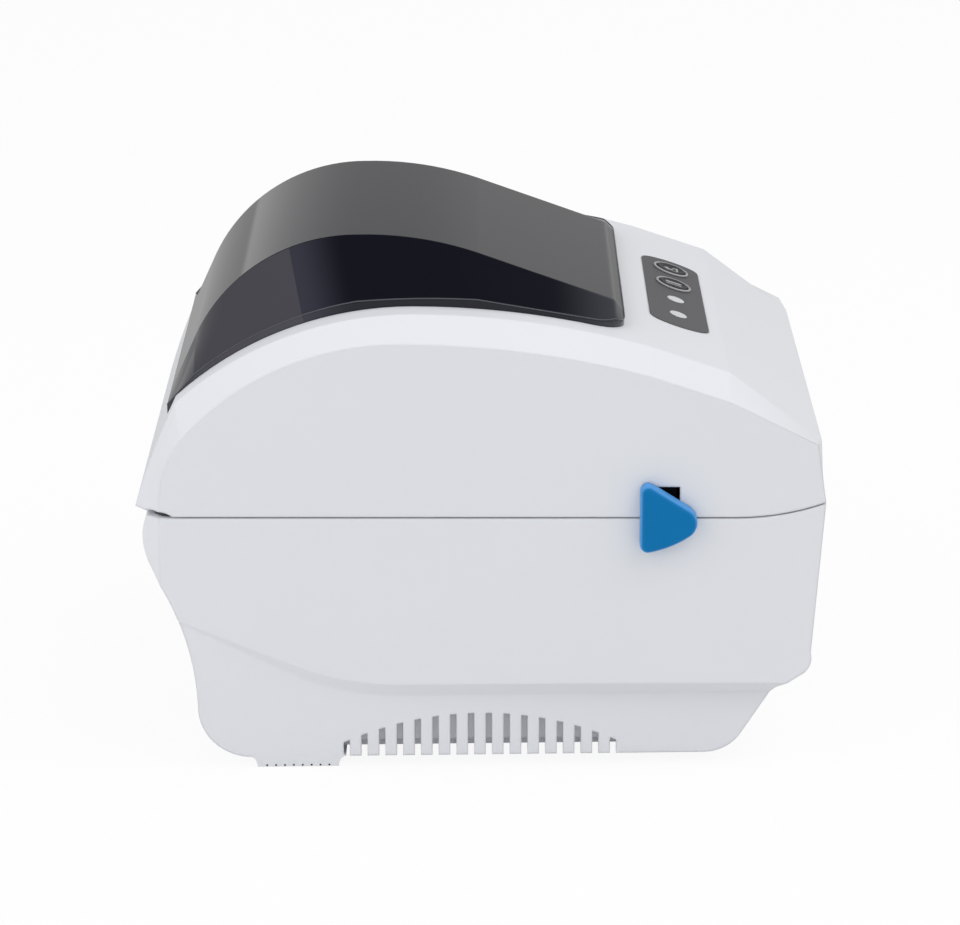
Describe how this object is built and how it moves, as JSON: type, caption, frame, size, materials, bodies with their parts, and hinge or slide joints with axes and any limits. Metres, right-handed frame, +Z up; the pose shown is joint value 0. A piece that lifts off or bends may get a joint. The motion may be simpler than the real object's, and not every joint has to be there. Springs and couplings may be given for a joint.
{
  "type": "thermal label printer",
  "caption": "Desktop thermal label printer: pale two-part casing with a hinged lid, smoked roll window, sloping key panel, side latches, tear bar and sprung print head over a geared platen.",
  "frame": {"origin": "on the table, under the middle of the outer box", "axes": "+Z up, -Y out of the label mouth at the front, +X to the right of someone facing the front"},
  "size_m": [0.182, 0.222, 0.1702],
  "materials": {
    "white_shell": "fine moulded texture",
    "smoked_window": "polished",
    "panel_grey": "fine satin",
    "key_grey": "satin",
    "blue_latch": "satin",
    "black_plastic": "satin",
    "dark_tray": "fine moulded texture",
    "rubber_black": "ground rubber",
    "rubber_grey": "soft rubber",
    "steel": "drawn",
    "sheet_steel": "rolled",
    "aluminium": "extruded",
    "ceramic": "glazed",
    "circuit_board": "lacquered",
    "chip_black": "matt",
    "light_lens": "milky",
    "gear_nylon": "moulded",
    "bush_brown": "moulded"
  },
  "bodies": {
    "base": {"base_shell": "white_shell", "bottom_plate": "white_shell", "bottom_screws": "steel", "rear_feet": "rubber_grey", "front_feet": "rubber_grey", "media_tray": "dark_tray", "tray_screws": "steel", "label_sensor": "black_plastic", "rack_tray": "dark_tray", "platen_bushes": "bush_brown", "mechanism_frame": "sheet_steel", "frame_screws": "steel", "stepper_motor": "steel", "tear_bar": "black_plastic", "main_board": "circuit_board", "board_chips": "chip_black", "usb_socket": "steel", "power_jack": "black_plastic", "rocker_frame": "black_plastic", "latch_keepers": "steel", "hinge_pins": "steel"},
    "lid": {"lid_shell": "white_shell", "window": "smoked_window", "control_panel": "panel_grey", "status_lights": "light_lens", "panel_board": "circuit_board", "key_switches": "chip_black", "head_carrier": "sheet_steel", "carrier_screws": "steel", "head_pin": "steel", "head_springs": "steel", "latch_pins": "steel"},
    "latch_left": {"latch_left": "blue_latch"},
    "latch_right": {"latch_right": "blue_latch"},
    "feed_button": {"feed_button": "key_grey"},
    "pause_button": {"pause_button": "key_grey"},
    "print_head": {"heat_sink": "aluminium", "head_element": "ceramic"},
    "platen": {"platen_shaft": "steel", "platen_rubber": "rubber_black", "platen_gear": "gear_nylon"},
    "idler": {"idler_gear": "gear_nylon"},
    "motor_rotor": {"motor_shaft": "steel", "motor_pinion": "gear_nylon"},
    "holder_left": {"roll_holder_left": "dark_tray"},
    "holder_right": {"roll_holder_right": "dark_tray"},
    "hub_left": {"roll_hub_left": "black_plastic"},
    "hub_right": {"roll_hub_right": "black_plastic"},
    "centring_pinion": {"centring_pinion": "gear_nylon"},
    "rocker": {"power_rocker": "black_plastic"}
  },
  "joints": [
    {"name": "lid_hinge", "type": "hinge", "parent": "base", "child": "lid", "pos_m": [0, 0.103, 0.081], "axis": [-1, 0, 0], "range_deg": [0, 82]},
    {"name": "latch_left_swing", "type": "hinge", "parent": "lid", "child": "latch_left", "pos_m": [-0.081, -0.0601, 0.1045], "axis": [-1, 0, 0], "range_deg": [0, 15], "stiffness_Nm_per_rad": 0.4},
    {"name": "latch_right_swing", "type": "hinge", "parent": "lid", "child": "latch_right", "pos_m": [0.081, -0.0601, 0.1045], "axis": [-1, 0, 0], "range_deg": [0, 15], "stiffness_Nm_per_rad": 0.4},
    {"name": "feed_press", "type": "slide", "parent": "lid", "child": "feed_button", "axis": [0, 0.3173, -0.9483], "range_m": [0, 0.0008], "stiffness_N_per_m": 800},
    {"name": "pause_press", "type": "slide", "parent": "lid", "child": "pause_button", "axis": [0, 0.3173, -0.9483], "range_m": [0, 0.0008], "stiffness_N_per_m": 800},
    {"name": "head_float", "type": "hinge", "parent": "lid", "child": "print_head", "pos_m": [0, -0.073, 0.096], "axis": [-1, 0, 0], "range_deg": [0, 3], "stiffness_Nm_per_rad": 6, "deforming": ["head_springs"]},
    {"name": "platen_spin", "type": "hinge", "parent": "base", "child": "platen", "pos_m": [0, -0.094, 0.0825], "axis": [1, 0, 0], "continuous": true},
    {"name": "idler_spin", "type": "hinge", "parent": "base", "child": "idler", "pos_m": [0.068, -0.0908, 0.06438], "axis": [1, 0, 0], "continuous": true},
    {"name": "motor_spin", "type": "hinge", "parent": "base", "child": "motor_rotor", "pos_m": [0.06, -0.07413, 0.0566], "axis": [1, 0, 0], "continuous": true},
    {"name": "holder_left_slide", "type": "slide", "parent": "base", "child": "holder_left", "axis": [1, 0, 0], "range_m": [-0.0034, 0.031]},
    {"name": "holder_right_slide", "type": "slide", "parent": "base", "child": "holder_right", "axis": [1, 0, 0], "range_m": [-0.031, 0.0034]},
    {"name": "centring_spin", "type": "hinge", "parent": "base", "child": "centring_pinion", "pos_m": [0, 0.025, 0.0275], "axis": [0, 0, 1], "range_deg": [-33, 297]},
    {"name": "hub_left_spin", "type": "hinge", "parent": "holder_left", "child": "hub_left", "pos_m": [-0.048, 0.025, 0.096], "axis": [1, 0, 0], "continuous": true},
    {"name": "hub_right_spin", "type": "hinge", "parent": "holder_right", "child": "hub_right", "pos_m": [0.048, 0.025, 0.096], "axis": [1, 0, 0], "continuous": true},
    {"name": "power_rock", "type": "hinge", "parent": "base", "child": "rocker", "pos_m": [-0.034, 0.0891, 0.0265], "axis": [1, 0, 0], "range_deg": [-16, 0]}
  ],
  "couplings": [
    {"joint": "idler_spin", "follows": "platen_spin", "ratio": -1.875},
    {"joint": "motor_spin", "follows": "platen_spin", "ratio": 4.2857},
    {"joint": "holder_right_slide", "follows": "holder_left_slide", "ratio": -1},
    {"joint": "centring_spin", "follows": "holder_left_slide", "rad_per_m": 166.67}
  ]
}
